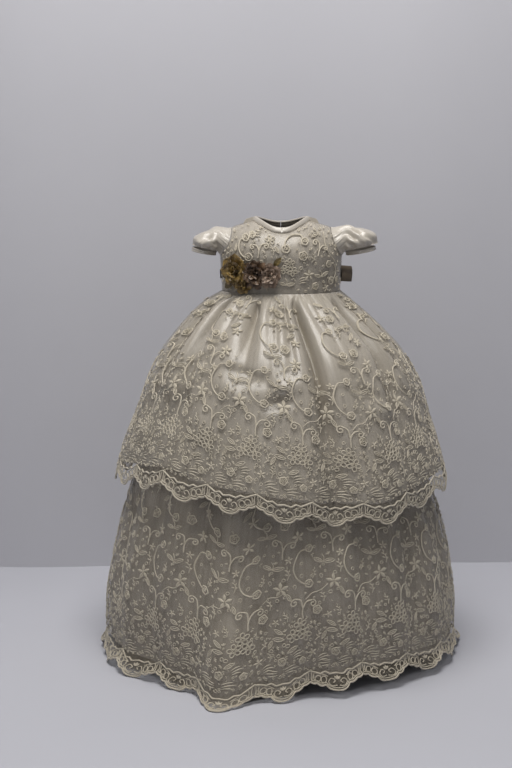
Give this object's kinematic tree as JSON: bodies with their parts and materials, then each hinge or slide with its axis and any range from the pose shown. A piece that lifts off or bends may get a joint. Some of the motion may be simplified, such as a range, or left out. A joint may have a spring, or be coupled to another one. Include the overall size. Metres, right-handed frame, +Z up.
{
  "type": "christening gown",
  "caption": "Baby's long christening gown in satin and scalloped lace: fitted bodice, puff sleeves, two-tier bell skirt, waist corsage and a back bow, standing on its hem.",
  "frame": {"origin": "centre of the bounding box at the level of the hem, where the gown stands", "axes": "+Z up through the gown, front towards -Y, the corsage side towards -X"},
  "size_m": [0.6074, 0.6117, 0.7199],
  "materials": {
    "satin": "ivory bridal satin, soft sheen",
    "lace": "net embroidered with champagne cord",
    "ribbon": "dark taupe satin ribbon",
    "pearl": "pearl button",
    "gold_petals": "gold crinkled ribbon petals",
    "brown_petals": "dark brown ribbon petals",
    "taupe_petals": "taupe ribbon petals",
    "leaves": "olive ribbon leaves"
  },
  "bodies": {
    "root": {"bodice_back_left": "satin", "bodice_back_right": "satin", "bodice_front": "satin", "bow_knot": "ribbon", "bow_loop_left": "ribbon", "bow_loop_right": "ribbon", "bow_tail_left": "ribbon", "bow_tail_right": "ribbon", "button_1": "pearl", "button_2": "pearl", "button_3": "pearl", "button_4": "pearl", "lace_back_left": "lace", "lace_back_right": "lace", "lace_front": "lace", "leaf_1": "leaves", "leaf_2": "leaves", "leaf_3": "leaves", "leaf_4": "leaves", "neck_binding": "satin", "rose_brown": "brown_petals", "rose_gold": "gold_petals", "rose_gold_small": "gold_petals", "rose_taupe": "taupe_petals", "sash_left": "ribbon", "sash_right": "ribbon", "skirt_satin": "satin", "sleeve_band_left": "satin", "sleeve_band_right": "satin", "sleeve_left": "satin", "sleeve_right": "satin", "tier_lower_lace": "lace", "tier_upper_lace": "lace", "tier_upper_satin": "satin"}
  },
  "joints": []
}
